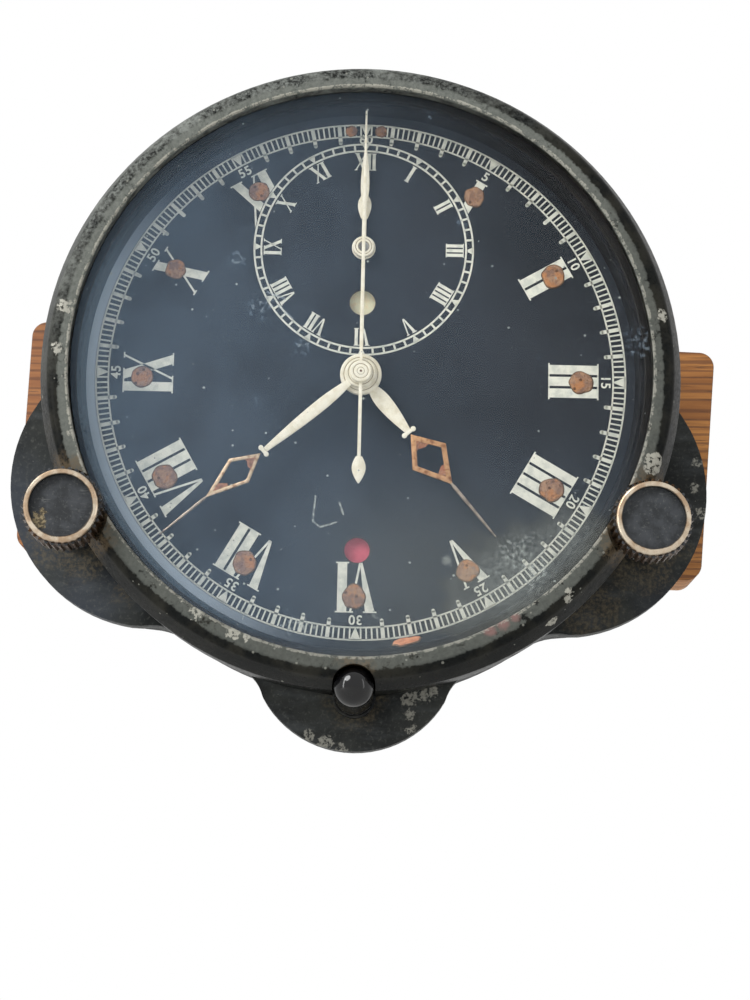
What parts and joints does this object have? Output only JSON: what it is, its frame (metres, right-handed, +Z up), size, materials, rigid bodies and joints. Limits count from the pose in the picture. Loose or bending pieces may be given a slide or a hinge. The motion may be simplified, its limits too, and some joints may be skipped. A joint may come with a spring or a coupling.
{
  "type": "instrument panel clock",
  "caption": "Round dark cased panel clock with a small trip dial, two milled knobs and a push button below, on a wooden batten.",
  "frame": {"origin": "where the clock's axis meets the back face of the batten", "axes": "+X to the right seen from the front, +Z up, +Y backwards, so the dial faces -Y"},
  "size_m": [0.1222, 0.0653, 0.1097],
  "materials": {
    "case_paint": "worn black paint",
    "wood": "waxed oak",
    "screw_steel": "darkened",
    "brass_screw": "dull",
    "glass": "clear, scratched",
    "rubber": "dull",
    "dial_paint": "matt black",
    "pip_paint": "aged luminous paint",
    "hand_paint": "cream luminous paint",
    "knob_brass": "painted black, worn to the metal",
    "stem_steel": "turned",
    "gloss_black": "polished",
    "cream_flag": "matt",
    "red_flag": "matt",
    "movement_brass": "satin",
    "spring_steel": "blued"
  },
  "bodies": {
    "case": {"front_flange": "case_paint", "gear_housing": "case_paint", "rear_cover": "case_paint", "case_screws": "screw_steel", "wooden_batten": "wood", "batten_screws": "brass_screw", "bezel": "case_paint", "bezel_screws": "screw_steel", "glass": "glass", "glass_gasket": "rubber", "rehaut_ring": "dial_paint", "dial": "dial_paint", "luminous_pips": "pip_paint", "front_bushes": "case_paint", "lever_bracket": "stem_steel", "movement_ring": "movement_brass", "front_plate": "movement_brass", "back_plate": "movement_brass", "plate_pillars": "movement_brass", "plate_screws": "spring_steel", "balance_cock": "movement_brass", "button_spring": "stem_steel"},
    "minute_hand_body": {"minute_hand": "hand_paint", "cannon_pinion": "stem_steel"},
    "hour_hand_body": {"hour_hand": "hand_paint", "hour_wheel": "movement_brass"},
    "minute_wheel_body": {"minute_wheel": "movement_brass"},
    "setting_idler_body": {"setting_idler": "movement_brass"},
    "transfer_body": {"transfer_wheel": "movement_brass"},
    "trip_minute_body": {"trip_minute_hand": "hand_paint", "trip_arbor": "stem_steel"},
    "trip_hour_body": {"trip_hour_hand": "hand_paint", "trip_hour_wheel": "movement_brass"},
    "trip_wheel_body": {"trip_minute_wheel": "movement_brass"},
    "seconds_body": {"seconds_hand": "hand_paint", "seconds_arbor": "stem_steel"},
    "barrel_body": {"barrel": "movement_brass", "mainspring": "spring_steel"},
    "centre_body": {"centre_wheel": "movement_brass"},
    "third_body": {"third_wheel": "movement_brass"},
    "fourth_body": {"fourth_wheel": "movement_brass"},
    "escape_body": {"escape_wheel": "movement_brass"},
    "pallet_body": {"pallet_lever": "stem_steel"},
    "balance_body": {"balance_wheel": "movement_brass", "hairspring": "spring_steel"},
    "ratchet_body": {"barrel_arbor": "stem_steel", "ratchet_wheel": "stem_steel"},
    "winding_idler_body": {"winding_idler": "stem_steel"},
    "winding_knob_body": {"winding_knob": "knob_brass", "winding_stem": "stem_steel"},
    "click_body": {"click": "spring_steel"},
    "setting_slide_body": {"setting_collar": "movement_brass"},
    "setting_knob_body": {"setting_knob": "knob_brass", "setting_stem": "stem_steel"},
    "button_body": {"push_button": "gloss_black", "button_stem": "stem_steel"},
    "lever_body": {"trip_lever": "movement_brass"},
    "trip_flag_body": {"trip_flag": "cream_flag"},
    "running_flag_body": {"running_flag": "red_flag"}
  },
  "joints": [
    {"name": "minute_hand_turn", "type": "hinge", "parent": "case", "child": "minute_hand_body", "pos_m": [0, -0.052, 0], "axis": [0, 1, 0], "continuous": true},
    {"name": "hour_hand_turn", "type": "hinge", "parent": "case", "child": "hour_hand_body", "pos_m": [0, -0.052, 0], "axis": [0, 1, 0], "continuous": true},
    {"name": "minute_wheel_turn", "type": "hinge", "parent": "case", "child": "minute_wheel_body", "pos_m": [0.00315, -0.052, -0.00779], "axis": [0, 1, 0], "continuous": true},
    {"name": "setting_idler_turn", "type": "hinge", "parent": "case", "child": "setting_idler_body", "pos_m": [0.01772, -0.052, -0.01615], "axis": [0, 1, 0], "continuous": true},
    {"name": "transfer_turn", "type": "hinge", "parent": "case", "child": "transfer_body", "pos_m": [0.03032, -0.052, -0.01626], "axis": [0, 1, 0], "continuous": true},
    {"name": "trip_minute_turn", "type": "hinge", "parent": "case", "child": "trip_minute_body", "pos_m": [0, -0.052, 0.0213], "axis": [0, 1, 0], "continuous": true},
    {"name": "trip_hour_turn", "type": "hinge", "parent": "case", "child": "trip_hour_body", "pos_m": [0, -0.052, 0.0213], "axis": [0, 1, 0], "continuous": true},
    {"name": "trip_wheel_turn", "type": "hinge", "parent": "case", "child": "trip_wheel_body", "pos_m": [-0.0084, -0.052, 0.0213], "axis": [0, 1, 0], "continuous": true},
    {"name": "seconds_turn", "type": "hinge", "parent": "case", "child": "seconds_body", "pos_m": [0, -0.052, 0], "axis": [0, 1, 0], "continuous": true},
    {"name": "fourth_wheel_turn", "type": "hinge", "parent": "case", "child": "fourth_body", "pos_m": [0.01874, -0.052, 0.00119], "axis": [0, 1, 0], "continuous": true},
    {"name": "third_wheel_turn", "type": "hinge", "parent": "case", "child": "third_body", "pos_m": [0.01032, -0.052, -0.00723], "axis": [0, 1, 0], "continuous": true},
    {"name": "centre_wheel_turn", "type": "hinge", "parent": "case", "child": "centre_body", "pos_m": [0, -0.052, 0], "axis": [0, 1, 0], "continuous": true},
    {"name": "barrel_turn", "type": "hinge", "parent": "case", "child": "barrel_body", "pos_m": [-0.01579, -0.052, -0.00575], "axis": [0, 1, 0], "continuous": true},
    {"name": "escape_wheel_turn", "type": "hinge", "parent": "case", "child": "escape_body", "pos_m": [0.02197, -0.052, 0.01007], "axis": [0, 1, 0], "continuous": true},
    {"name": "pallet_rock", "type": "hinge", "parent": "case", "child": "pallet_body", "pos_m": [0.01938, -0.052, 0.01647], "axis": [0, 1, 0], "range_deg": [-4, 4]},
    {"name": "balance_swing", "type": "hinge", "parent": "case", "child": "balance_body", "pos_m": [0.00962, -0.052, 0.02395], "axis": [0, 1, 0], "range_deg": [-135, 135], "stiffness_Nm_per_rad": 0.000012},
    {"name": "winding_knob_turn", "type": "hinge", "parent": "case", "child": "winding_knob_body", "pos_m": [-0.04512, -0.052, -0.02419], "axis": [0, 1, 0], "continuous": true},
    {"name": "winding_idler_turn", "type": "hinge", "parent": "case", "child": "winding_idler_body", "pos_m": [-0.03036, -0.052, -0.01915], "axis": [0, 1, 0], "continuous": true},
    {"name": "ratchet_turn", "type": "hinge", "parent": "case", "child": "ratchet_body", "pos_m": [-0.01579, -0.052, -0.00575], "axis": [0, 1, 0], "continuous": true},
    {"name": "click_swing", "type": "hinge", "parent": "case", "child": "click_body", "pos_m": [-0.01787, -0.052, 0.00607], "axis": [0, -1, 0], "range_deg": [0, 8], "stiffness_Nm_per_rad": 0.00001},
    {"name": "setting_pull", "type": "slide", "parent": "case", "child": "setting_slide_body", "axis": [0, -1, 0], "range_m": [0, 0.0024]},
    {"name": "setting_knob_turn", "type": "hinge", "parent": "setting_slide_body", "child": "setting_knob_body", "pos_m": [0.04512, -0.052, -0.02419], "axis": [0, 1, 0], "continuous": true},
    {"name": "button_press", "type": "slide", "parent": "case", "child": "button_body", "axis": [0, 1, 0], "range_m": [0, 0.002], "stiffness_N_per_m": 300, "springref_m": -0.001, "deforming": ["button_spring"]},
    {"name": "lever_swing", "type": "hinge", "parent": "case", "child": "lever_body", "pos_m": [0, -0.0274, -0.042], "axis": [1, 0, 0], "range_deg": [0, 17]},
    {"name": "trip_flag_swing", "type": "hinge", "parent": "case", "child": "trip_flag_body", "pos_m": [0.0076, -0.052, 0.0115], "axis": [0, 1, 0], "range_deg": [0, 41]},
    {"name": "running_flag_swing", "type": "hinge", "parent": "case", "child": "running_flag_body", "pos_m": [-0.007, -0.052, -0.028], "axis": [0, 1, 0], "range_deg": [0, 41]}
  ],
  "couplings": [
    {"joint": "hour_hand_turn", "follows": "minute_hand_turn", "ratio": 0.083333},
    {"joint": "minute_wheel_turn", "follows": "minute_hand_turn", "ratio": -0.33333},
    {"joint": "setting_idler_turn", "follows": "minute_hand_turn", "ratio": 0.2},
    {"joint": "transfer_turn", "follows": "minute_hand_turn", "ratio": -1},
    {"joint": "trip_hour_turn", "follows": "trip_minute_turn", "ratio": 0.083333},
    {"joint": "trip_wheel_turn", "follows": "trip_minute_turn", "ratio": -0.33333},
    {"joint": "third_wheel_turn", "follows": "fourth_wheel_turn", "ratio": -0.13333},
    {"joint": "centre_wheel_turn", "follows": "fourth_wheel_turn", "ratio": 0.016667},
    {"joint": "barrel_turn", "follows": "fourth_wheel_turn", "ratio": -0.0027778},
    {"joint": "escape_wheel_turn", "follows": "fourth_wheel_turn", "ratio": -8},
    {"joint": "winding_idler_turn", "follows": "winding_knob_turn", "ratio": -0.3},
    {"joint": "ratchet_turn", "follows": "winding_knob_turn", "ratio": 0.46154},
    {"joint": "lever_swing", "follows": "button_press", "rad_per_m": 143},
    {"joint": "trip_flag_swing", "follows": "button_press", "rad_per_m": 349},
    {"joint": "running_flag_swing", "follows": "button_press", "rad_per_m": 349}
  ]
}
